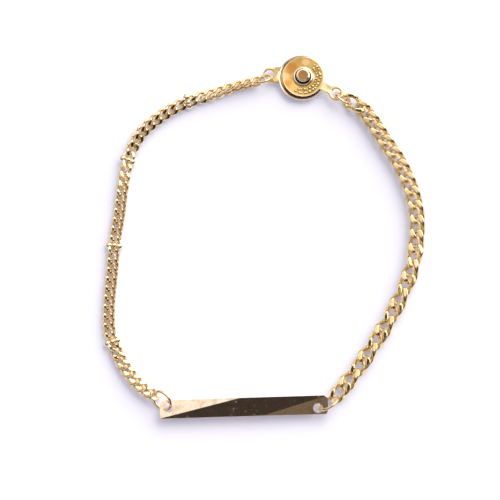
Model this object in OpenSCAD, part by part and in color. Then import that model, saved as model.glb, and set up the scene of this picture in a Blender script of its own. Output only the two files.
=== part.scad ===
// A chain bracelet lying open on a table: a round snap at the back, a fine curb chain with
// four beaded stations on the left, a heavier filed curb chain on the right and a faceted
// bar at the front. Millimetres, Z up, the table is z = 0.

/* [Fine chain] */
// Length of one fine link
fine_l = 2.92; // [2.9:0.01:2.94]
// Width of one fine link
fine_w = 2.1; // [2.08:0.01:2.12]
// Wire of the fine chain, measured across
fine_wire = 0.54; // [0.5:0.01:0.54]
// Height of that wire, which is rolled a little flat
fine_high = 0.48; // [0.44:0.01:0.48]
// How far the sides of a fine link are twisted up and down
fine_twist = 0.49; // [0.46:0.01:0.5]
// Height above its middle at which a fine link is filed flat
fine_filed = 0.6; // [0.58:0.01:0.62]

/* [Heavy chain] */
// Length of one heavy link
heavy_l = 4.5; // [4.46:0.01:4.54]
// Width of one heavy link
heavy_w = 2.72; // [2.7:0.01:2.74]
// Wire of the heavy chain, measured across
heavy_wire = 0.76; // [0.72:0.01:0.78]
// Height of that wire, which is rolled a little flat
heavy_high = 0.64; // [0.6:0.01:0.66]
// How far the sides of a heavy link are twisted up and down
heavy_twist = 0.78; // [0.76:0.01:0.8]
// Height above its middle at which a heavy link is filed flat
heavy_filed = 0.9; // [0.88:0.01:0.92]

/* [Stations] */
// Length of the link that carries a station's balls
station_l = 3.5; // [3.48:0.01:3.52]
// Diameter of the two side balls
side_ball_d = 1.16; // [1.12:0.01:1.18]
// Diameter of the ball between them
middle_ball_d = 0.84; // [0.8:0.01:0.86]
// Extra room that a station takes between itself and each neighbour
station_room = 0.34; // [0.33:0.01:0.35]

/* [Bar] */
// Length of the bar
bar_l = 27.6; // [27.4:0.1:27.8]
// Width of the bar
bar_w = 3.05; // [3:0.05:3.1]
// Thickness of the bar along its level facet
bar_t = 0.8; // [0.75:0.05:0.85]
// Diameter of the bar's two holes
bar_hole_d = 1.6; // [1.55:0.05:1.65]
// Depth that the two sloping facets reach at their far corners
facet_drop = 0.3; // [0.2:0.05:0.4]

/* [Snap] */
// Outer diameter of the tray
tray_d = 7.85; // [7.8:0.05:7.9]
// Height of the tray's rim
tray_h = 1.15; // [1.1:0.05:1.15]
// Outer diameter of the cap
cap_d = 6.95; // [6.9:0.05:7]
// Height of the stud's flat top
stud_h = 2.75; // [2.6:0.05:2.9]
// Outer diameter of the stud
stud_d = 2.35; // [2.3:0.05:2.4]

/* [Jump rings] */
// Wire of the jump rings
ring_wire = 0.45; // [0.43:0.01:0.45]
// Diameter of the rings at the snap, from the middle of the wire
snap_ring_d = 3; // [2.98:0.01:3.02]
// Diameter of the rings at the bar, from the middle of the wire
bar_ring_d = 3.5; // [3.48:0.01:3.52]

/* [Hidden] */
gold = "goldenrod";
pale_gold = "khaki";

// Where the pieces lie

// The fine chain's route, a point every few millimetres from the snap to the bar [x, y]
fine_route = [
  [-2, 26.16], [-5.25, 25.36], [-9.05, 24.06], [-13.15, 22.76], [-17.05, 20.56], [-20.65, 17.36],
  [-22.75, 13.16], [-23.65, 8.16], [-24.2, 3.36], [-24.95, -1.64], [-25.3, -6.64], [-25.7, -11.64],
  [-25.5, -16.64], [-23.8, -20.94], [-22.25, -23.34], [-20.55, -25.44], [-18.45, -26.95]];
// Links on the fine chain, stations included
fine_count = 43;
// Which of those links carry a station, counted from 0 at the snap
station_places = [7, 16, 25, 35];
// The fine chain's lean about its own length [link, degrees], and the height that the end
// links gain where they ride on the jump rings [link, mm]
fine_lean = [
  [0, -78], [2, -78], [7, -40], [11, -38], [13, -38], [16, -24], [20, 0], [35, 0], [39, -14],
  [42, -18]];
fine_tip = [[0, 0], [fine_count, 0]];
fine_lift = [[0, 0.26], [1, 0.17], [2, 0.09], [3, 0.03], [4, 0], [36, 0], [38, 0.08], [42, 0.32]];

// The heavy chain's route from the snap to the bar [x, y]
heavy_route = [
  [15.27, 22.46], [16.15, 21.91], [17.85, 20], [20, 16.46], [22.5, 12.56], [24.4, 8.16],
  [25.4, 3.56], [25.3, -1.14], [24.5, -5.64], [22.9, -9.84], [20.85, -13.99], [18.4, -18.04],
  [15.45, -22.54], [12.4, -26.45]];
// Links on the heavy chain
heavy_count = 23;
// Lean of its links, and how far the even ones tip to one side and the odd ones to the other
// [link, degrees], and the end links' height
heavy_lean = [[0, 0], [1, 8], [9, 8], [12, 3], [22, 3]];
heavy_tip = [[0, 0], [10, 0], [12, -11], [20, -11], [22, -8]];
heavy_lift = [[0, 0], [20, 0], [21, 0.08], [22, 0.2]];
// Share by which the heavy links lie closer at the snap, and further apart at the bar
heavy_growth = 0.07;

// Middle of the tray, and of the cap and stud, which sit a little to its right
tray_at = [6.4, 27.11];
cap_at = [6.58, 27.13];
// Ends of the tab on the tray and of the eyelet on the cap
tab_hole_at = [0.91, 27.56];
eyelet_at = [12.16, 24.26];
// Middle of the bar, its turn, and the height of its underside, which rides on the jump rings
bar_at = [-3.35, -29.09];
bar_turn = 1.75;
bar_z = 1.04;
// Jump rings [x, y, turn of the long axis, tilt about it, diameter]
ring_places = [
  [-0.18, 26.68, 19, -58, snap_ring_d],
  [13.38, 23.38, -38.5, -58, snap_ring_d],
  [-16.8, -28, -42, 56, bar_ring_d],
  [10.5, -28.45, 36, -60, bar_ring_d]];

// Routes

// One point of a smooth curve through p1 and p2
function curve_point(p0, p1, p2, p3, t) =
  0.5 * (2 * p1 + (p2 - p0) * t + (2 * p0 - 5 * p1 + 4 * p2 - p3) * t * t
    + (3 * p1 - p0 - 3 * p2 + p3) * t * t * t);

// The curve through all points of a route, in short steps
curve_steps = 8;
function curve(q) = [
  for (i = [0 : len(q) - 2], k = [0 : curve_steps - 1])
    curve_point(q[max(i - 1, 0)], q[i], q[i + 1], q[min(i + 2, len(q) - 1)], k / curve_steps),
  q[len(q) - 1]];

// Distance along the curve at each of its points
function distances(c) = [
  for (i = 0, d = 0; i < len(c); d = d + (i + 1 < len(c) ? norm(c[i + 1] - c[i]) : 0), i = i + 1) d];

// Curve points as two lookup tables, distance to x and distance to y
function table(c, d, axis) = [for (i = [0 : len(c) - 1]) [d[i], c[i][axis]]];

// How many of the intervals before link i touch a station
function station_intervals(i, places) =
  len([for (s = places) if (i > s - 1) s]) + len([for (s = places) if (i > s) s]);

// Links along a route [x, y, turn, roll, lift], evenly spaced apart from the room beside stations
// and from a spacing that may grow along the way. A link's roll is its lean and its tip, which the
// odd links take to the other side.
function spots(q, count, places, room, growth, lean, tip, lift) =
  let (
    c = curve(q),
    d = distances(c),
    tx = table(c, d, 0),
    ty = table(c, d, 1),
    total = d[len(d) - 1],
    pitch = (total - room * station_intervals(count - 1, places)) / (count - 1),
    reach = pitch / 2)
  [for (i = [0 : count - 1])
    let (
      u = i / (count - 1),
      at = i * pitch + room * station_intervals(i, places) - growth * total * u * (1 - u),
      back = max(at - reach, 0),
      ahead = min(at + reach, total))
    [lookup(at, tx), lookup(at, ty),
      atan2(lookup(ahead, ty) - lookup(back, ty), lookup(ahead, tx) - lookup(back, tx)),
      lookup(i, lean) + (i % 2 == 1 ? -1 : 1) * lookup(i, tip),
      lookup(i, lift)]];

// Links

wire_sides = 6;

// Points of one curb link: an oval of wire whose long sides are twisted up and down, with
// everything above and below the filed height pressed onto it. The wire is wider than it is high.
function link_points(l, w, wire, high, twist, filed, steps) = [
  for (i = [0 : steps - 1], k = [0 : wire_sides - 1])
    let (
      a = (l - wire) / 2,
      b = (w - wire) / 2,
      t = 360 * i / steps,
      middle = [a * cos(t), b * sin(t), -twist * sin(2 * t)],
      along = [-a * sin(t), b * cos(t), -2 * twist * cos(2 * t)],
      out = cross(along, [0, 0, 1]) / norm(cross(along, [0, 0, 1])),
      rise = cross(out, along) / norm(along),
      f = 360 * k / wire_sides,
      p = middle + wire / 2 * cos(f) * out + high / 2 * sin(f) * rise)
    [p.x, p.y, max(-filed, min(filed, p.z))]];

// Faces of a closed tube of rings with wire_sides points each
function link_faces(steps) = [
  for (i = [0 : steps - 1], k = [0 : wire_sides - 1], half = [0, 1])
    let (
      j = (i + 1) % steps,
      m = (k + 1) % wire_sides,
      p00 = i * wire_sides + k,
      p01 = i * wire_sides + m,
      p10 = j * wire_sides + k,
      p11 = j * wire_sides + m)
    half == 0 ? [p00, p01, p11] : [p00, p11, p10]];

// Height of a link's middle when it lies on the table, rolled about its length
function lying_height(points, roll) = -min([for (p = points) p.y * sin(roll) + p.z * cos(roll)]);

fine_steps = 12;
heavy_steps = 14;
fine_points = link_points(fine_l, fine_w, fine_wire, fine_high, fine_twist, fine_filed,
  fine_steps);
fine_faces = link_faces(fine_steps);
station_points = link_points(station_l, fine_w, fine_wire, fine_high, fine_twist, fine_filed,
  fine_steps);
heavy_points = link_points(heavy_l, heavy_w, heavy_wire, heavy_high, heavy_twist, heavy_filed,
  heavy_steps);
heavy_faces = link_faces(heavy_steps);
fine_spots = spots(fine_route, fine_count, station_places, station_room, 0, fine_lean, fine_tip,
  fine_lift);
heavy_spots = spots(heavy_route, heavy_count, [], 0, heavy_growth, heavy_lean, heavy_tip,
  heavy_lift);

// One link laid at its spot
module link(points, faces, spot) {
  translate([spot[0], spot[1], lying_height(points, spot[3]) + spot[4]])
    rotate([spot[3], 0, spot[2]])
      polyhedron(points, faces);
}

module chain_left() {
  color(gold)
    for (i = [0 : fine_count - 1])
      if (len(search(i, station_places)) == 0)
        link(fine_points, fine_faces, fine_spots[i]);
}

module chain_right() {
  color(gold)
    for (spot = heavy_spots)
      link(heavy_points, heavy_faces, spot);
}

// A station: one link with a ball soldered on each side wire and a small one between them
side_ball_y = 0.84;
middle_ball_z = 0.34;
ball_sides = 12;

module station(n) {
  spot = fine_spots[station_places[n]];
  ball_z = side_ball_d / 2 + side_ball_y * abs(sin(spot[3]));
  rest_z = max(lying_height(station_points, spot[3]), ball_z);
  color(pale_gold)
    translate([spot[0], spot[1], rest_z])
      rotate([spot[3], 0, spot[2]])
        union() {
          polyhedron(station_points, fine_faces);
          for (side = [-1, 1])
            translate([0, side * side_ball_y, 0])
              sphere(d = side_ball_d, $fn = ball_sides);
          translate([0, 0, middle_ball_z])
            sphere(d = middle_ball_d, $fn = ball_sides);
        }
}

// Jump rings

module jump_ring(place) {
  mid_r = place[4] / 2;
  rest_z = mid_r * abs(sin(place[3])) + ring_wire / 2;
  color(gold)
    translate([place[0], place[1], rest_z])
      rotate([place[3], 0, place[2]])
        rotate_extrude($fn = 48)
          translate([mid_r, 0])
            circle(d = ring_wire, $fn = 24);
}

// Bar

// Corners cut off the bar's outline, as lengths along and across it
cut_top = [0.6, 0.5];
cut_low_left = [0.15, 0.2];
cut_low_right = [0.3, 0.6];
// Bar holes, measured from its middle
left_hole = [-12.4, 0.27];
right_hole = [12.15, -0.52];
// Where the two ridges between the facets start and end, measured from its middle
ridge_1 = [[-13.8, -1.5], [-0.6, 1.52]];
ridge_2 = [[3.0, -1.52], [13.3, 1.35]];
slack_cut = 0.5;

// Everything above a plane that falls away from the ridge on its left side
module slope(ridge) {
  run = ridge[1] - ridge[0];
  fall = atan(facet_drop / bar_w);
  translate([ridge[0].x, ridge[0].y, bar_t])
    rotate([-fall, 0, atan2(run.y, run.x)])
      translate([-bar_l, 0, 0])
        cube([3 * bar_l, 3 * bar_w, bar_t]);
}

module bar() {
  x = bar_l / 2;
  y = bar_w / 2;
  outline = [
    [-x + cut_low_left.x, -y], [x - cut_low_right.x, -y], [x, -y + cut_low_right.y],
    [x, y - cut_top.y], [x - cut_top.x, y], [-x + cut_top.x, y], [-x, y - cut_top.y],
    [-x, -y + cut_low_left.y]];
  color(pale_gold)
    translate([bar_at.x, bar_at.y, bar_z])
      rotate([0, 0, bar_turn])
        difference() {
          linear_extrude(bar_t) polygon(outline);
          for (at = [left_hole, right_hole])
            translate([at.x, at.y, -slack_cut])
              cylinder(d = bar_hole_d, h = bar_t + 2 * slack_cut, $fn = 32);
          slope(ridge_1);
          slope([ridge_2[1], ridge_2[0]]);
        }
}

// Snap

tray_wall = 0.16;
tray_floor = 0.5;
tab_w = 2.72;
tab_t = 0.36;
tab_z = 0.8;
tab_hole_d = 1.7;
// The hole sits off the middle of the tab's round end, and the tab reaches in under the rim
tab_offset = 0.22;
tab_reach = 3.5;

module clasp_base() {
  stud_r = stud_d / 2;
  stud_top_r = 0.9;
  stud_bevel = 0.4;
  color(pale_gold)
    difference() {
      union() {
        translate([tray_at.x, tray_at.y])
          rotate_extrude($fn = 96)
            polygon([[0, 0], [tray_d / 2, 0], [tray_d / 2, tray_h], [tray_d / 2 - tray_wall, tray_h],
              [tray_d / 2 - tray_wall, tray_floor], [0, tray_floor]]);
        translate([cap_at.x, cap_at.y, 0])
          rotate_extrude($fn = 64)
            polygon([[0, 0], [stud_r, 0], [stud_r, stud_h - stud_bevel], [stud_top_r, stud_h],
              [0, stud_h]]);
        difference() {
          translate([0, 0, tab_z])
            linear_extrude(tab_t)
              union() {
                translate(tab_hole_at + [tab_offset, 0])
                  circle(d = tab_w, $fn = 64);
                translate(tab_hole_at + [tab_offset, -tab_w / 2])
                  square([tab_reach, tab_w]);
              }
          translate([tray_at.x, tray_at.y, 0])
            cylinder(r = tray_d / 2 - tray_wall / 2, h = 2 * tray_h, $fn = 96);
        }
      }
      translate([tab_hole_at.x, tab_hole_at.y, 0])
        cylinder(d = tab_hole_d, h = 2 * tray_h, $fn = 48);
    }
}

// Cap: a dished disc with a collar, an eyelet on a neck and a scatter of plain pellets
cap_z = 0.64;
cap_rim_z = 1.6;
dish_z = 1.42;
dish_flat = 0.1;
collar_z = 1.85;
collar_r = 1.64;
collar_in_r = 1.34;
collar_bevel = 0.1;
eyelet_d = 2.6;
eyelet_hole_d = 1.5;
eyelet_z = 1.27;
eyelet_t = 0.42;
neck_w = 1.15;
neck_root = 0.3;
pellet_d = 0.3;
pellet_top_z = 1.64;
// Rows of pellets on the face [first angle, last angle, count, distance from the middle]
pellet_rows = [[-111, 41, 13, 2.3], [-116, 46, 17, 2.82]];

module clasp_cap() {
  cap_r = cap_d / 2;
  edge = 0.16;
  reach = eyelet_at - cap_at;
  color(gold)
    difference() {
      union() {
        translate([cap_at.x, cap_at.y])
          rotate_extrude($fn = 96)
            polygon([[collar_in_r, cap_z], [cap_r, cap_z], [cap_r, cap_rim_z - edge],
              [cap_r - edge, cap_rim_z], [collar_r + dish_flat, dish_z], [collar_r, dish_z],
              [collar_r, collar_z - collar_bevel], [collar_r - collar_bevel, collar_z],
              [collar_in_r, collar_z]]);
        translate([eyelet_at.x, eyelet_at.y, eyelet_z])
          cylinder(d = eyelet_d, h = eyelet_t, $fn = 48);
        translate([cap_at.x, cap_at.y, eyelet_z])
          rotate([0, 0, atan2(reach.y, reach.x)])
            translate([cap_r - neck_root, -neck_w / 2, 0])
              cube([norm(reach) - cap_r, neck_w, eyelet_t]);
        for (row = pellet_rows, i = [0 : row[2] - 1])
          translate([cap_at.x, cap_at.y, dish_z])
            rotate([0, 0, row[0] + i * (row[1] - row[0]) / (row[2] - 1)])
              translate([row[3], 0, 0])
                cylinder(d = pellet_d, h = pellet_top_z - dish_z, $fn = 12);
      }
      translate([eyelet_at.x, eyelet_at.y, cap_z])
        cylinder(d = eyelet_hole_d, h = 2, $fn = 32);
    }
}

clasp_base();
clasp_cap();
chain_left();
station(0);  // station_1
station(1);  // station_2
station(2);  // station_3
station(3);  // station_4
chain_right();
bar();
jump_ring(ring_places[0]);  // ring_clasp_left
jump_ring(ring_places[1]);  // ring_clasp_right
jump_ring(ring_places[2]);  // ring_bar_left
jump_ring(ring_places[3]);  // ring_bar_right
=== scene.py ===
import bmesh
import bpy
import numpy as np
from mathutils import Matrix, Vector


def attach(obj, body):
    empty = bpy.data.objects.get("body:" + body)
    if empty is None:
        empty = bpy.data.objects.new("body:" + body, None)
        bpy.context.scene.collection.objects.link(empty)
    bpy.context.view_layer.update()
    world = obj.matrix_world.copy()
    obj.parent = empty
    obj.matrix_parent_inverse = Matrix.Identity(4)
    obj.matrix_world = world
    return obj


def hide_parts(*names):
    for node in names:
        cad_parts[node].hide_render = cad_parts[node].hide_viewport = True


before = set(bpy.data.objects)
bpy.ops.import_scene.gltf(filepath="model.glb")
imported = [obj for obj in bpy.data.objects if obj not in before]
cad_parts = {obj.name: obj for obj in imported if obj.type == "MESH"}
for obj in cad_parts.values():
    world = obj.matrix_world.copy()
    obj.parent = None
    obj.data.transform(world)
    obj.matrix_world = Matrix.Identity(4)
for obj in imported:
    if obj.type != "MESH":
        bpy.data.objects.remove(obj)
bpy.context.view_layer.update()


# Table and light
# A matt white table inside a light tent. Two wide lamps light it from the upper right, and polished metal
# mirrors only one of them. The tent has a dark opening overhead, which the camera looks through.

mm = 0.001


class Field:
    """A socket of a node tree. Arithmetic between fields and numbers adds the Math nodes that work it out."""

    def __init__(self, tree, socket=None):
        self.tree = tree
        self.socket = socket

    def node(self, kind, settings, inputs, out=0):
        """Adds one node: its settings first, then the values or links of its sockets."""
        made = self.tree.nodes.new(kind)
        for name, value in settings.items():
            setattr(made, name, value)
        for key, value in inputs.items():
            if isinstance(value, Field):
                self.tree.links.new(value.socket, made.inputs[key])
            else:
                made.inputs[key].default_value = value
        return Field(self.tree, made.outputs[out])

    def maths(self, operation, first, second):
        return self.node("ShaderNodeMath", {"operation": operation}, {0: first, 1: second})

    def __add__(self, other):
        return self.maths("ADD", self, other)

    __radd__ = __add__

    def __sub__(self, other):
        return self.maths("SUBTRACT", self, other)

    def __rsub__(self, other):
        return self.maths("SUBTRACT", other, self)

    def __mul__(self, other):
        return self.maths("MULTIPLY", self, other)

    __rmul__ = __mul__

    def rises(self, low, high):
        """0 up to low and 1 from high on, with a smooth rise between them."""
        limits = {"Value": self, 1: low, 2: high}
        return self.node("ShaderNodeMapRange", {"interpolation_type": "SMOOTHSTEP"}, limits)

    def falls(self, low, high):
        """1 up to low and 0 from high on, with a smooth fall between them."""
        return 1 - self.rises(low, high)

    def blend(self, share, first, second):
        """Mixes two colours: the first where share is 0 and the second where it is 1."""
        colours = {"Factor": share, "A": first, "B": second}
        return self.node("ShaderNodeMix", {"data_type": "RGBA"}, colours, "Result")

    def vector_maths(self, operation, other, out="Vector"):
        return self.node("ShaderNodeVectorMath", {"operation": operation}, {0: self, 1: other}, out)

    def along(self, direction):
        """How far a place lies along a direction: the dot product of the two."""
        return self.vector_maths("DOT_PRODUCT", direction, "Value")

    def noise(self, scale, detail):
        """Smooth random blotches from 0 to 1, about one over the scale apart in metres."""
        return self.node("ShaderNodeTexNoise", {}, {"Vector": self, "Scale": scale, "Detail": detail}, "Fac")


def white_table():
    """A square sheet far wider than the view. Its faint glow keeps it from going grey."""
    finish = bpy.data.materials.new("matt_white_table")
    finish.use_nodes = True
    shader = finish.node_tree.nodes["Principled BSDF"]
    shader.inputs["Base Color"].default_value = (0.75, 0.775, 0.87, 1)
    shader.inputs["Emission Color"].default_value = (0.155, 0.16, 0.24, 1)
    shader.inputs["Emission Strength"].default_value = 1.0
    shader.inputs["Roughness"].default_value = 0.9
    shader.inputs["Specular IOR Level"].default_value = 0.0
    half = 4.0
    corners = [(-half, -half, 0), (half, -half, 0), (half, half, 0), (-half, half, 0)]
    sheet = bpy.data.meshes.new("table_top")
    sheet.from_pydata(corners, [], [(0, 1, 2, 3)])
    sheet.materials.append(finish)
    table_top = bpy.data.objects.new("table_top", sheet)
    bpy.context.scene.collection.objects.link(table_top)


white_table()

bpy.context.scene.view_settings.view_transform = "Standard"
bpy.context.scene.view_settings.look = "None"

towards_lamps = Vector((0.6, 0.6, 0.62))


def soft_lamp(name, energy, mirrored):
    """A wide warm lamp at the upper right, which polished metal mirrors or doesn't."""
    light = bpy.data.lights.new(name, "SUN")
    light.energy = energy
    light.angle = 1.3
    light.color = (1.0, 0.95, 0.86)
    lamp = bpy.data.objects.new(name, light)
    lamp.rotation_euler = towards_lamps.to_track_quat("Z", "Y").to_euler()
    lamp.visible_glossy = mirrored
    bpy.context.scene.collection.objects.link(lamp)


soft_lamp("lamp", energy=2.25, mirrored=True)
soft_lamp("lamp_behind_cloth", energy=1.6, mirrored=False)


def light_tent():
    """The tent's brightness by direction: a bright wall behind, a dim one in front, black cloth low down and
    on the right, and the dark opening overhead, which is palest on the camera's side."""
    world = bpy.data.worlds.new("light_tent")
    world.use_nodes = True
    tree = world.node_tree
    tree.nodes.clear()
    start = Field(tree)
    way = start.node("ShaderNodeTexCoord", {}, {}, "Generated")

    def facing(*direction):
        """How nearly a direction points this way: the cosine of the angle between them."""
        return way.along(tuple(Vector(direction).normalized()))

    dim_wall = (0.22, 0.19, 0.17, 1)
    bright_wall = (1.15, 1.08, 1.02, 1)
    low_cloth = (0.02, 0.014, 0.011, 1)
    right_cloth = (0.03, 0.02, 0.014, 1)
    near_opening = (0.18, 0.14, 0.1, 1)
    far_opening = (0.034, 0.026, 0.026, 1)
    right_opening = (0.045, 0.033, 0.03, 1)
    walls = start.blend(facing(0.2, 0.9, 0.4).rises(-0.3, 0.6), dim_wall, bright_wall)
    walls = start.blend(facing(0, 0, 1).rises(0.22, 0.44), low_cloth, walls)
    walls = start.blend(facing(1, -0.1, 0).rises(0.38, 0.55), walls, right_cloth)
    opening = start.blend(facing(0, 1, 0).rises(0.02, 0.18), near_opening, far_opening)
    opening = start.blend(facing(1, 0, 0).rises(0.09, 0.19), opening, right_opening)
    colour = start.blend(facing(0.12, 0.1, 1.0).rises(0.955, 0.975), walls, opening)
    glow = start.node("ShaderNodeBackground", {}, {"Color": colour, "Strength": 1.0})
    out = tree.nodes.new("ShaderNodeOutputWorld")
    tree.links.new(glow.socket, out.inputs["Surface"])
    bpy.context.scene.world = world


light_tent()

camera_height = np.radians(78.0)
camera_distance = 450 * mm
view_middle = Vector((-2.35, -2.39, 0.0)) * mm
look = Vector((0.0, np.cos(camera_height), -np.sin(camera_height)))
camera_data = bpy.data.cameras.new("camera")
camera_data.sensor_width = 36.0
camera_data.lens = 194.4
camera_data.clip_start = 0.01
camera_data.clip_end = 20.0
camera = bpy.data.objects.new("camera", camera_data)
camera.location = view_middle - look * camera_distance
camera.rotation_euler = look.to_track_quat("-Z", "Y").to_euler()
bpy.context.scene.collection.objects.link(camera)
bpy.context.scene.camera = camera


# Fine chain
# 39 oval links of round wire, twisted so that each lies flat through the next, then filed flat on both
# faces and gold plated. Four stations take the place of a link in it.


def gold(name, tint, deep, roughness, grain, regions=lambda place: ()):
    """Plated metal: a tint that deepens in cloudy patches, fine polishing marks and small dents. The regions
    are shares by place, each with its own colour and the roughness that it adds."""
    finish = bpy.data.materials.new(name)
    finish.use_nodes = True
    tree = finish.node_tree
    shader = tree.nodes["Principled BSDF"]
    start = Field(tree)
    place = start.node("ShaderNodeTexCoord", {}, {}, "Object")
    cloud = place.noise(900.0, 3.0)
    dents = place.noise(3200.0, 2.0)
    marks = place.noise(14000.0, 1.0)
    colour = start.blend(cloud.rises(0.35, 0.7), (*tint, 1), (*deep, 1))
    rough = roughness + 0.12 * (cloud - 0.5) + 0.1 * (marks - 0.5)
    for share, shade, rougher in regions(place):
        colour = start.blend(share, colour, (*shade, 1))
        rough = rough + share * rougher
    relief = {"Strength": grain, "Distance": 0.012 * mm, "Height": dents + 0.25 * marks}
    bump = start.node("ShaderNodeBump", {}, relief)
    tree.links.new(colour.socket, shader.inputs["Base Color"])
    tree.links.new(rough.socket, shader.inputs["Roughness"])
    tree.links.new(bump.socket, shader.inputs["Normal"])
    shader.inputs["Metallic"].default_value = 1.0
    return finish


def curve(points, steps=8):
    """The smooth curve through all the points: between two of them a cubic, whose slope at each point is half
    the way from the point before it to the point after it."""
    at = np.asarray(points, float)
    start, end = at[:-1, None], at[1:, None]
    before = np.vstack([at[:1], at[:-2]])[:, None]
    after = np.vstack([at[2:], at[-1:]])[:, None]
    share = (np.arange(steps) / steps)[None, :, None]
    slope = end - before
    bend = 2 * before - 5 * start + 4 * end - after
    twist = 3 * start - before - 3 * end + after
    line = 0.5 * (2 * start + slope * share + bend * share**2 + twist * share**3)
    return np.vstack([line.reshape(-1, 2), at[-1:]])


def laid_out(route, count, roll, lift, stations=(), room=0.0, growth=0.0):
    """Link places along a route: x, y, turn, roll and lift. They are evenly spaced, apart from the room on
    both sides of each station and from a spacing that may grow along the way."""
    line = curve(route)
    far = np.concatenate([[0], np.cumsum(np.linalg.norm(np.diff(line, axis=0), axis=1))])
    number = np.arange(count)
    rooms_passed = np.zeros(count)
    for station in stations:
        rooms_passed += (number >= station) * 1.0 + (number > station)
    pitch = (far[-1] - room * rooms_passed[-1]) / (count - 1)
    share = number / (count - 1)
    at = number * pitch + room * rooms_passed - growth * far[-1] * share * (1 - share)

    def on_line(distance):
        return np.array([np.interp(distance, far, line[:, 0]), np.interp(distance, far, line[:, 1])])

    x, y = on_line(at)
    step_x, step_y = on_line(np.minimum(at + pitch / 2, far[-1])) - on_line(np.maximum(at - pitch / 2, 0))
    return np.column_stack([x, y, np.arctan2(step_y, step_x), np.radians(roll(number)), lift(number)])


def by_number(table):
    """A quantity given at a few link numbers and straight between them."""
    numbers, values = np.array(table, float).T
    return lambda number: np.interp(number, numbers, values)


def full_turn(count):
    """Even angles round a full turn, with the last one a step short of the first."""
    return np.arange(count) * 2 * np.pi / count


def oval_link(length, width, wire, high, twist, filed, rings, sides):
    """An oval of wire. Its centre line is an ellipse in plan, and it rises and falls by the twist times 1.5 w
    less half the cube of w, where w is the sine of twice the angle. Its section is an ellipse too, and
    whatever stands above or below the filed height is pressed onto it."""
    long_r, short_r = (length - wire) / 2, (width - wire) / 2
    angle, wire_angle = full_turn(rings), full_turn(sides)
    wave = np.sin(2 * angle)
    height = -twist * wave * (1.5 - 0.5 * wave**2)
    height_slope = -twist * 3 * (1 - wave**2) * np.cos(2 * angle)
    middle = np.stack([long_r * np.cos(angle), short_r * np.sin(angle), height], 1)
    along = np.stack([-long_r * np.sin(angle), short_r * np.cos(angle), height_slope], 1)
    out = np.cross(along, [0, 0, 1])
    out /= np.linalg.norm(out, axis=1)[:, None]
    rise = np.cross(out, along) / np.linalg.norm(along, axis=1)[:, None]
    across, up = wire / 2 * np.cos(wire_angle), high / 2 * np.sin(wire_angle)
    points = middle[:, None] + across[None, :, None] * out[:, None] + up[None, :, None] * rise[:, None]
    points[..., 2] = np.clip(points[..., 2], -filed, filed)
    return points


def closed_grid(rows, columns):
    """Faces of a grid of points whose last row and last column close onto the first."""
    row, column = np.meshgrid(np.arange(rows), np.arange(columns), indexing="ij")
    this_row, next_row = row * columns, (row + 1) % rows * columns
    next_column = (column + 1) % columns
    corners = [next_row + column, next_row + next_column, this_row + next_column, this_row + column]
    return np.stack(corners, -1).reshape(-1, 4)


def laid_down(points, spots):
    """Copies of one link at its places: rolled about its length, turned, and lying with its lowest point at
    the height of the lift."""
    flat = points.reshape(-1, 3)
    x, y, turn, roll, lift = (column[:, None] for column in spots.T)
    tilted_y = flat[:, 1] * np.cos(roll) - flat[:, 2] * np.sin(roll)
    tilted_z = flat[:, 1] * np.sin(roll) + flat[:, 2] * np.cos(roll)
    turned_x = flat[:, 0] * np.cos(turn) - tilted_y * np.sin(turn)
    turned_y = flat[:, 0] * np.sin(turn) + tilted_y * np.cos(turn)
    lowest = tilted_z.min(1, keepdims=True)
    return np.stack([turned_x + x, turned_y + y, tilted_z - lowest + lift], -1)


def piece(name, shells, finish, slot, *replaced):
    """One object from shells of points in millimetres and their faces, which replaces CAD nodes. A shell may
    also say how much of each point's surface is worn bright, from 0 to 1."""
    places, faces, worn, first = [], [], [], 0
    for points, quads, *edges in shells:
        flat = points.reshape(-1, 3)
        places.append(flat)
        faces.extend([[corner + first for corner in face] for face in quads])
        worn.append(edges[0] if edges else np.zeros(len(flat)))
        first += len(flat)
    mesh = bpy.data.meshes.new(name)
    mesh.from_pydata((np.vstack(places) * mm).tolist(), [], faces)
    mesh.polygons.foreach_set("use_smooth", np.ones(len(mesh.polygons), bool))
    mesh.attributes.new("worn_edge", "FLOAT", "POINT").data.foreach_set("value", np.concatenate(worn))
    mesh.set_sharp_from_angle(angle=np.radians(28))
    mesh.materials.append(finish)
    made = bpy.data.objects.new(name, mesh)
    bpy.context.scene.collection.objects.link(made)
    shading = made.modifiers.new("level_faces_shade_flat", "WEIGHTED_NORMAL")
    shading.keep_sharp = True
    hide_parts(*replaced)
    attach(made, "root")


fine_route = [
    [-2.0, 26.16], [-5.25, 25.36], [-9.05, 24.06], [-13.15, 22.76], [-17.05, 20.56], [-20.65, 17.36],
    [-22.75, 13.16], [-23.65, 8.16], [-24.2, 3.36], [-24.95, -1.64], [-25.3, -6.64], [-25.7, -11.64],
    [-25.5, -16.64], [-23.8, -20.94], [-22.25, -23.34], [-20.55, -25.44], [-18.45, -26.95],
]
fine_count = 43
station_places = [7, 16, 25, 35]
fine_roll = by_number(
    [[0, -78], [2, -78], [7, -40], [11, -38], [13, -38], [16, -24], [20, 0], [35, 0], [39, -14], [42, -18]]
)
fine_lift = by_number(
    [[0, 0.26], [1, 0.17], [2, 0.09], [3, 0.03], [4, 0], [36, 0], [38, 0.08], [42, 0.32]]
)
fine_spots = laid_out(fine_route, fine_count, fine_roll, fine_lift, stations=station_places, room=0.34)
fine_shape = {"width": 2.12, "wire": 0.58, "high": 0.5, "twist": 0.5, "filed": 0.66, "rings": 44, "sides": 18}
fine_link = oval_link(length=2.98, **fine_shape)
fine_faces = closed_grid(*fine_link.shape[:2])
fine_tint, fine_deep = (0.93, 0.75, 0.45), (0.83, 0.63, 0.33)
fine_gold = gold("fine_chain_gold", fine_tint, fine_deep, roughness=0.12, grain=0.35)
plain_links = np.setdiff1d(np.arange(fine_count), station_places)
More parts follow.
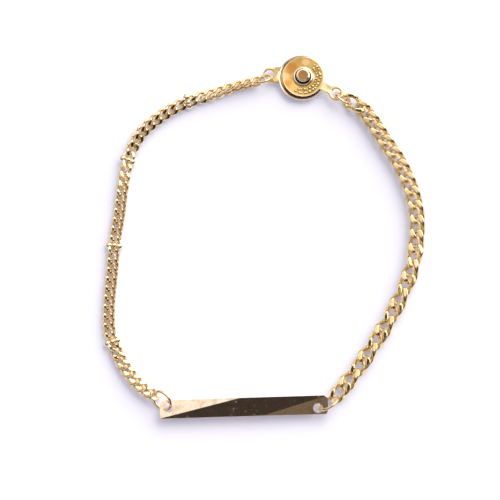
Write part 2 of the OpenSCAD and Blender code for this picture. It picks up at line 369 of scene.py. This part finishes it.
fine_shells = [(link, fine_faces) for link in laid_down(fine_link, fine_spots[plain_links])]
piece("fine_chain", fine_shells, fine_gold, "fine_chain_gold", "chain_left")


# Stations
# Each is a longer link with a ball soldered on either side wire and a small ball between them, cast and
# polished brighter than the chain.


def capped(points):
    """A grid that closes round its columns. Triangles close its first and its last row, each from a point at
    the row's middle."""
    rows, columns = points.shape[:2]
    row, column = np.meshgrid(np.arange(rows - 1), np.arange(columns), indexing="ij")
    this_row, next_row, next_column = row * columns, (row + 1) * columns, (column + 1) % columns
    corners = [this_row + column, next_row + column, next_row + next_column, this_row + next_column]
    quads = np.stack(corners, -1).reshape(-1, 4)
    first_middle, last_middle, last_row = rows * columns, rows * columns + 1, (rows - 1) * columns
    edge = np.arange(columns)
    next_edge = (edge + 1) % columns
    over = np.stack([np.full(columns, first_middle), edge, next_edge], -1)
    under = np.stack([np.full(columns, last_middle), last_row + next_edge, last_row + edge], -1)
    places = np.vstack([points.reshape(-1, 3), points[0].mean(0), points[-1].mean(0)])
    return places, [*quads.tolist(), *over.tolist(), *under.tolist()]


def carried_round(outline, middle, columns):
    """A grid from an outline of radius and height, carried round an upright axis: x and y are the radius
    times the cosine and the sine of the angle round the axis."""
    angle = full_turn(columns)[None, :]
    radius, height = outline[:, 0][:, None], outline[:, 1][:, None]
    x = middle[0] + radius * np.cos(angle)
    y = middle[1] + radius * np.sin(angle)
    return np.stack([x, y, height * np.ones_like(angle)], -1)


def ball(middle, radius, squash=1.0):
    """A sphere: half a circle, whose radius is the sine and whose height is the cosine of its angle, carried
    round and closed at both poles."""
    pole = 0.02
    angle = np.linspace(pole, np.pi - pole, 15)
    half_circle = np.column_stack([radius * np.sin(angle), middle[2] + radius * squash * np.cos(angle)])
    return capped(carried_round(half_circle, middle, 28))


station_link = oval_link(length=3.54, **fine_shape)
station_tint, station_deep = (0.99, 0.88, 0.66), (0.95, 0.8, 0.52)
station_gold = gold("station_gold", station_tint, station_deep, roughness=0.15, grain=0.2)
side_ball_y, side_ball_r = 0.84, 0.62
middle_ball_z, middle_ball_r = 0.36, 0.48
station_shells = [
    (station_link.reshape(-1, 3), fine_faces),
    ball((0, side_ball_y, 0), side_ball_r),
    ball((0, -side_ball_y, 0), side_ball_r),
    ball((0, 0, middle_ball_z), middle_ball_r),
]
station_points = np.vstack([points for points, faces in station_shells])
station_ends = np.cumsum([len(points) for points, faces in station_shells])
for number, link_number in enumerate(station_places, 1):
    lying = laid_down(station_points, fine_spots[[link_number]])[0]
    parts = np.split(lying, station_ends[:-1])
    shells = [(part, faces) for part, (points, faces) in zip(parts, station_shells)]
    piece(f"station_{number}_bead", shells, station_gold, "station_gold", f"station_{number}")


# Heavy chain
# 23 wider links of the same kind, filed and plated like the fine ones. From the middle on they lie tipped to
# one side and the other in turn.

heavy_route = [
    [15.27, 22.46], [16.15, 21.91], [17.85, 20.0], [20.0, 16.46], [22.5, 12.56], [24.4, 8.16],
    [25.4, 3.56], [25.3, -1.14], [24.5, -5.64], [22.9, -9.84], [20.85, -13.99], [18.4, -18.04],
    [15.45, -22.54], [12.4, -26.45],
]
heavy_lean = by_number([[0, 0], [1, 8], [9, 8], [12, 3], [22, 3]])
heavy_tip = by_number([[0, 0], [10, 0], [12, -11], [20, -11], [22, -8]])
heavy_lift = by_number([[0, 0], [20, 0], [21, 0.08], [22, 0.2]])


def heavy_roll(number):
    """A lean to one side, with a tip that changes side from each link to the next."""
    return heavy_lean(number) + heavy_tip(number) * np.where(number % 2, -1, 1)


heavy_spots = laid_out(heavy_route, 23, heavy_roll, heavy_lift, growth=0.07)
heavy_wire = {"wire": 0.8, "high": 0.68, "rings": 64, "sides": 22}
heavy_link = oval_link(length=4.54, width=2.76, twist=0.79, filed=1.0, **heavy_wire)
heavy_faces = closed_grid(*heavy_link.shape[:2])
heavy_tint, heavy_deep = (0.94, 0.76, 0.44), (0.84, 0.63, 0.31)
heavy_gold = gold("heavy_chain_gold", heavy_tint, heavy_deep, roughness=0.1, grain=0.3)
heavy_shells = [(link, heavy_faces) for link in laid_down(heavy_link, heavy_spots)]
piece("heavy_chain", heavy_shells, heavy_gold, "heavy_chain_gold", "chain_right")


# Jump rings
# Four rings of round wire, each cut once to be opened over what it holds and closed again, which leaves a
# hairline seam. Two hold the snap and two the bar.


def jump_ring(x, y, turn, tilt, diameter):
    """A circle of wire with a small gap at its seam. A point's reach from the middle is the ring's radius
    plus the wire's radius times the cosine of its angle round the wire, and its height is the wire's radius
    times the sine. The ring is tilted about its own x axis, turned and stood on the table."""
    wire_r, seam_gap = 0.225, 0.02
    seam = seam_gap / diameter
    angle = np.linspace(np.pi / 2 + seam, np.pi * 2.5 - seam, 84)[:, None]
    wire_angle = full_turn(18)[None, :]
    reach = diameter / 2 + wire_r * np.cos(wire_angle)
    height = wire_r * np.sin(wire_angle) * np.ones_like(angle)
    places, faces = capped(np.stack([reach * np.cos(angle), reach * np.sin(angle), height], -1))
    tilt, turn = np.radians(tilt), np.radians(turn)
    spin = np.array([[np.cos(turn), -np.sin(turn), 0], [np.sin(turn), np.cos(turn), 0], [0, 0, 1]])
    lean = np.array([[1, 0, 0], [0, np.cos(tilt), -np.sin(tilt)], [0, np.sin(tilt), np.cos(tilt)]])
    middle_z = diameter / 2 * abs(np.sin(tilt)) + wire_r
    return places @ (spin @ lean).T + [x, y, middle_z], faces


ring_tint, ring_deep = (0.94, 0.73, 0.43), (0.86, 0.62, 0.32)
ring_gold = gold("ring_gold", ring_tint, ring_deep, roughness=0.1, grain=0.25)
rings = {
    "ring_clasp_left": jump_ring(-0.18, 26.68, turn=19, tilt=-58, diameter=3.0),
    "ring_clasp_right": jump_ring(13.38, 23.38, turn=-38.5, tilt=-58, diameter=3.0),
    "ring_bar_left": jump_ring(-16.8, -28.0, turn=-42, tilt=56, diameter=3.5),
    "ring_bar_right": jump_ring(10.5, -28.45, turn=36, tilt=-60, diameter=3.5),
}
for name, ring in rings.items():
    piece(f"{name}_wire", [ring], ring_gold, "ring_gold", name)


# Bar
# A flat strip, milled with two shallow sloping facets, drilled at both ends, mirror polished and gold
# plated. Handling has left it faintly smudged.


def bar_smudges(place):
    """Fingerprint haze in loose patches, and small dull specks, pale and dark."""
    haze = place.noise(700.0, 5.0)
    specks = place.noise(2100.0, 2.0)
    return (
        (haze.rises(0.46, 0.68), (0.8, 0.65, 0.5), 0.05),
        (specks.rises(0.61, 0.71), (0.96, 0.82, 0.62), 0.1),
        (specks.falls(0.29, 0.39), (0.82, 0.67, 0.5), 0.0),
    )


def bar_strip(finish):
    """The CAD bar's own faces, merged where they are level, with every edge over 30 degrees rounded."""
    solid = bmesh.new()
    solid.from_mesh(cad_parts["bar"].data)
    bmesh.ops.remove_doubles(solid, verts=solid.verts, dist=0.001 * mm)
    bmesh.ops.dissolve_limit(solid, angle_limit=np.radians(0.5), verts=solid.verts, edges=solid.edges)
    mesh = bpy.data.meshes.new("bar_strip")
    solid.to_mesh(mesh)
    solid.free()
    mesh.materials.clear()
    mesh.materials.append(finish)
    made = bpy.data.objects.new("bar_strip", mesh)
    bpy.context.scene.collection.objects.link(made)
    edge = made.modifiers.new("softened_edges", "BEVEL")
    edge.width = 0.06 * mm
    edge.segments = 3
    edge.limit_method = "ANGLE"
    edge.angle_limit = np.radians(30)
    edge.harden_normals = True
    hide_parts("bar")
    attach(made, "root")


bar_tint, bar_deep = (0.96, 0.83, 0.68), (0.93, 0.77, 0.58)
bar_strip(gold("bar_gold", bar_tint, bar_deep, roughness=0.06, grain=0.06, regions=bar_smudges))


# Snap, lower half
# A round tray pressed from sheet, with a stud riveted in its middle and a tab with a hole soldered under
# its rim. The stud passes up through the cap and clicks into it.


def pierced_plate(outline, hole_at, hole_r, low, high, edge):
    """A flat plate round a hole. Along each line from the hole's middle to the outline, its section runs from
    the hole's edge over the top and back underneath, and its rounded edges are worn bright. A wire's section
    runs the other way, so the faces are turned over here."""
    count = len(outline)
    offset = outline - hole_at
    away = offset / np.linalg.norm(offset, axis=1)[:, None]
    hole = hole_at + hole_r * away
    inset = edge * 0.3
    section = [
        (hole, 0.0, low + edge), (hole, 0.0, high - edge), (hole, inset, high - inset), (hole, edge, high),
        (outline, -edge, high), (outline, -inset, high - inset), (outline, 0.0, high - edge),
        (outline, 0.0, low + edge), (outline, -inset, low + inset), (outline, -edge, low),
        (hole, edge, low), (hole, inset, low + inset),
    ]
    rows = [np.column_stack([line + away * shift, np.full(count, z)]) for line, shift, z in section]
    worn = np.tile([float(abs(shift) < edge) for line, shift, z in section], count)
    return np.stack(rows, 1), closed_grid(count, len(section))[:, ::-1], worn


def kept_outside(outline, middle, radius):
    """An outline whose points within a circle are moved straight out onto it."""
    offset = outline - middle
    far = np.linalg.norm(offset, axis=1)[:, None]
    return middle + offset * np.maximum(radius / far, 1)


def round_end(middle, radius, way, half_width, reach, count=96):
    """An outline: a circle on the far side, and two parallel sides that run back from it to a square end."""
    half_arc = np.pi - np.arcsin(half_width / radius)
    angle = np.linspace(np.pi - half_arc, np.pi + half_arc, count // 2)
    arc = radius * np.stack([np.cos(angle), np.sin(angle)], 1)
    low, high = arc[-1], arc[0]
    low_end, high_end = np.array([reach, -half_width]), np.array([reach, half_width])
    side = np.linspace(0, 1, count // 8 + 2)[1:-1, None]
    across = np.linspace(0, 1, count // 4)[:, None]
    low_side = low + (low_end - low) * side
    square_end = low_end + (high_end - low_end) * across
    high_side = high_end + (high - high_end) * side
    turned = np.array([[np.cos(way), np.sin(way)], [-np.sin(way), np.cos(way)]])
    return middle + np.vstack([arc, low_side, square_end, high_side]) @ turned


tray_at = np.array([6.4, 27.11])
tray_r, tray_h, tray_wall, tray_floor = 3.925, 1.15, 0.26, 0.5
inner_r = tray_r - tray_wall
tray_outline = np.array([
    [inner_r - 0.1, tray_floor], [inner_r, tray_floor + 0.08], [inner_r, tray_h - 0.05],
    [inner_r + 0.02, tray_h - 0.06], [tray_r - 0.08, tray_h], [tray_r - 0.03, tray_h - 0.01],
    [tray_r, tray_h - 0.06], [tray_r, 0.12], [tray_r - 0.05, 0.03], [tray_r - 0.14, 0.0],
])
cap_at = np.array([6.58, 27.13])
stud_r, stud_top, shank_r = 1.175, 2.75, 1.08
stud_outline = np.array([
    [0.5, stud_top - 0.02], [0.84, stud_top], [0.9, stud_top - 0.01], [1.08, 2.64], [1.15, 2.52],
    [stud_r, 2.36], [stud_r, 2.2], [1.12, 2.08], [shank_r, 1.95], [shank_r, 0.62], [1.14, tray_floor],
    [stud_r, 0.4],
])
tab_hole, tab_r = np.array([0.91, 27.56]), 1.36
tab_middle = tab_hole + [0.22, 0]
tab_outline = round_end(tab_middle, tab_r, way=0.0, half_width=tab_r, reach=2.0)
tab_outline = kept_outside(tab_outline, tray_at, tray_r - 0.08)


def worn_edge(place):
    """The share worn bright, from the mesh's own attribute."""
    return place.node("ShaderNodeAttribute", {"attribute_name": "worn_edge"}, {}, "Fac")


def off_axis(place, middle):
    """Distance of a place from an upright axis in millimetres: the length of its offset in plan."""
    offset = place.vector_maths("SUBTRACT", (middle[0] * mm, middle[1] * mm, 0))
    plan = offset.vector_maths("MULTIPLY", (1 / mm, 1 / mm, 0))
    return plan.vector_maths("LENGTH", (0, 0, 0), "Value")


def base_regions(place):
    """The tray's rim and the stud's edge, polished and painted pale as painted highlights; the stud's satin
    top, painted dark brown as a painted reflection; and painted shade inside the tray's front and round the
    stud. All distances are in millimetres."""
    height = place.along((0, 0, 1 / mm))
    front = place.along((0, 1 / mm, 0)).falls(24.8, 27.0)
    from_tray, from_stud = off_axis(place, tray_at), off_axis(place, cap_at)
    # The rim is polished, and its pale colour is a painted highlight.
    rim = from_tray.rises(3.64, 3.68) * from_tray.falls(3.94, 3.98)
    # The stud's top is satin, and its dark brown colour is a painted reflection.
    stud_top_painted_reflection = from_stud.falls(0.8, 0.88) * height.rises(2.66, 2.72)
    # The stud's bevel is polished, and its pale colour is a painted highlight.
    stud_edge_painted_highlight = from_stud.rises(0.88, 0.92) * from_stud.falls(1.2, 1.3) * height.rises(2.2, 2.3)
    # Painted shade inside the tray, on its front side only.
    inside = from_tray.falls(3.64, 3.7) * height.falls(1.0, 1.1) * front
    # Painted shade round the stud's shaft, below the collar.
    shaft_painted_shade = from_stud.falls(1.3, 1.4) * height.falls(2.1, 2.3)
    return (
        (rim, (0.97, 0.86, 0.7), -0.1),
        (stud_top_painted_reflection, (0.36, 0.2, 0.075), 0.1),
        (stud_edge_painted_highlight, (0.97, 0.88, 0.74), -0.22),
        (worn_edge(place), (0.86, 0.62, 0.32), -0.18),
        (inside, (0.2, 0.1, 0.04), 0.1),
        (shaft_painted_shade, (0.2, 0.1, 0.04), 0.1),
    )


base_tint, base_deep = (0.9, 0.66, 0.33), (0.8, 0.54, 0.22)
base_gold = gold("clasp_base_gold", base_tint, base_deep, roughness=0.3, grain=0.3, regions=base_regions)
snap_base = [
    capped(carried_round(tray_outline, tray_at, 96)),
    capped(carried_round(stud_outline, cap_at, 96)),
    pierced_plate(tab_outline, tab_hole, hole_r=0.85, low=0.76, high=1.16, edge=0.2),
]
piece("snap_base", snap_base, base_gold, "clasp_base_gold", "clasp_base")


# Snap, upper half
# A dished cap pressed from sheet, with a raised collar that grips the stud, a scatter of plain pellets on
# part of its face, and an eyelet on a short neck.


def rounded(corners, radius, steps=4):
    """A closed outline with each corner replaced by a parabola that starts and ends a radius away from it, or
    less where the next corner is near."""
    corners = np.asarray(corners, float)

    def part_way(other):
        run = np.linalg.norm(other - corners, axis=1)[:, None]
        return (corners + (other - corners) * np.minimum(radius / run, 0.45))[:, None]

    start, end = part_way(np.roll(corners, 1, axis=0)), part_way(np.roll(corners, -1, axis=0))
    share = np.linspace(0, 1, steps + 1)[None, :, None]
    bends = (1 - share) ** 2 * start + 2 * share * (1 - share) * corners[:, None] + share**2 * end
    return bends.reshape(-1, 2)


def patch(place, x, y, radius):
    """1 near a point and 0 beyond a radius, with an edge that wanders by half the radius."""
    wander = (place.noise(1100.0, 3.0) - 0.5) * radius
    return (off_axis(place, (x, y)) + wander).falls(0.35 * radius, radius)


def cap_regions(place):
    """Patches on the face, of painted shade, painted highlight and other tones; painted shade on the face
    between the pellets;
    painted highlights on the pellets' polished tops; and the polished collar and outer edge, painted pale as
    painted highlights. All distances are in millimetres."""
    height = place.along((0, 0, 1 / mm))
    from_stud = off_axis(place, cap_at)
    face = from_stud.rises(1.7, 1.76) * from_stud.falls(3.2, 3.3)
    by_pellets = off_axis(place, (8.9, 25.9)).falls(2.5, 3.3)
    # Painted shade on the face between the pellets, at three quarters strength.
    ground = from_stud.rises(1.9, 2.1) * from_stud.falls(3.05, 3.2) * by_pellets
    # The pellets' tops are polished, and their pale colour is a painted highlight.
    tops = height.rises(1.62, 1.68) * from_stud.rises(1.8, 1.9)
    # The collar is polished, and its pale colour is a painted highlight.
    collar = from_stud.rises(1.2, 1.3) * from_stud.falls(1.66, 1.7) * height.rises(1.6, 1.66)
    # The outer edge is polished, and its pale colour is a painted highlight.
    outer_edge_painted_highlight = from_stud.rises(3.3, 3.36) * from_stud.falls(3.5, 3.6)
    return (
        # Painted patches on the face: a painted shade at the upper left, paler gold at the top and the left,
        # darker orange at the lower left, and a painted highlight right of the stud.
        (patch(place, 4.7, 28.6, 1.5) * face, (0.55, 0.27, 0.07), 0.0),
        (patch(place, 7.0, 29.6, 0.9) * face, (0.86, 0.62, 0.3), 0.0),
        (patch(place, 3.5, 27.2, 0.9) * face, (0.84, 0.62, 0.34), 0.05),
        (patch(place, 4.0, 25.9, 0.9) * face, (0.66, 0.34, 0.1), 0.0),
        (patch(place, 8.5, 27.1, 0.8) * face, (0.98, 0.9, 0.74), 0.0),
        (ground * 0.75, (0.4, 0.26, 0.06), 0.1),
        (tops, (0.95, 0.84, 0.48), -0.1),
        (worn_edge(place), (0.8, 0.56, 0.26), -0.26),
        (collar, (0.97, 0.88, 0.72), -0.22),
        (outer_edge_painted_highlight, (0.95, 0.82, 0.6), -0.12),
    )


cap_tint, cap_deep = (0.76, 0.5, 0.19), (0.6, 0.36, 0.11)
cap_gold = gold("clasp_cap_gold", cap_tint, cap_deep, roughness=0.4, grain=0.9, regions=cap_regions)
cap_r, cap_low, collar_r, bore_r = 3.475, 0.64, 1.64, 1.34
cap_corners = [
    [bore_r, cap_low], [cap_r, cap_low], [cap_r, 1.54], [3.42, 1.6], [3.34, 1.59], [3.1, 1.58], [2.6, 1.56],
    [2.1, 1.54], [1.8, 1.52], [1.68, 1.53], [collar_r, 1.58], [collar_r, 1.74], [1.58, 1.79], [1.42, 1.85],
    [1.36, 1.83], [bore_r, 1.79],
]
cap_outline = rounded(cap_corners, radius=0.05)
cap_points = carried_round(cap_outline, cap_at, 120).transpose(1, 0, 2)
cap_shell = (cap_points, closed_grid(*cap_points.shape[:2]))
eyelet_at, eyelet_r, neck_half_width = np.array([12.16, 24.26]), 1.3, 0.7
back_to_cap = cap_at - eyelet_at
neck_way = np.arctan2(back_to_cap[1], back_to_cap[0])
neck_reach = np.hypot(*back_to_cap) - 3.2
eyelet_outline = round_end(eyelet_at, eyelet_r, neck_way, neck_half_width, neck_reach)
eyelet_outline = kept_outside(eyelet_outline, cap_at, cap_r - 0.035)
eyelet_shell = pierced_plate(eyelet_outline, eyelet_at, hole_r=0.75, low=1.22, high=1.69, edge=0.22)


def pellet_arc(chance, first, last, count, distance, height):
    """Flattened balls at even angles in degrees round the stud, each shifted and sized a little at random."""
    arc = []
    for angle in np.radians(np.linspace(first, last, count)):
        out = distance + chance.uniform(-0.11, 0.11)
        turn = angle + chance.uniform(-0.04, 0.04)
        x, y = cap_at + out * np.array([np.cos(turn), np.sin(turn)])
        arc.append(ball((x, y, height), chance.uniform(0.18, 0.27), squash=0.8))
    return arc


chance = np.random.default_rng(7)
inner_pellets = pellet_arc(chance, first=-111, last=41, count=13, distance=2.3, height=1.53)
outer_pellets = pellet_arc(chance, first=-116, last=46, count=17, distance=2.82, height=1.55)
snap_cap = [cap_shell, eyelet_shell, *inner_pellets, *outer_pellets]
piece("snap_cap", snap_cap, cap_gold, "clasp_cap_gold", "clasp_cap")

bpy.context.view_layer.update()
